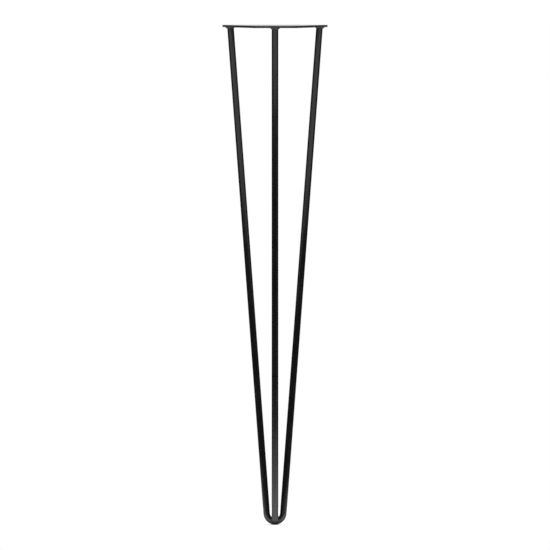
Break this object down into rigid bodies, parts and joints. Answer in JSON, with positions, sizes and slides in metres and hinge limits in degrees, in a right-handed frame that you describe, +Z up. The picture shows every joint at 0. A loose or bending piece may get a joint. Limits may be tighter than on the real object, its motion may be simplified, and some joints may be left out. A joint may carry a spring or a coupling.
{
  "type": "hairpin table leg",
  "caption": "Tall hairpin table leg: a bar bent to a narrow U and a straight centre bar meet at a small foot and splay up to a flat, rounded mounting plate with screw holes.",
  "frame": {"origin": "on the top face of the mounting plate, straight above the foot", "axes": "+Z up, out of the plate towards the table top; -Y to the front, where the centre bar is; +X to the right seen from the front"},
  "size_m": [0.15, 0.1312, 0.711],
  "materials": {
    "plate": "satin black powder coat on steel plate",
    "rod": "satin black powder coat on round steel bar",
    "weld": "satin black powder coat over weld beads"
  },
  "bodies": {
    "root": {"mounting_plate": "plate", "hairpin_rod": "rod", "centre_rod": "rod", "prong_weld_left": "weld", "prong_weld_right": "weld", "centre_rod_weld": "weld", "foot_weld_left": "weld", "foot_weld_right": "weld"}
  },
  "joints": []
}
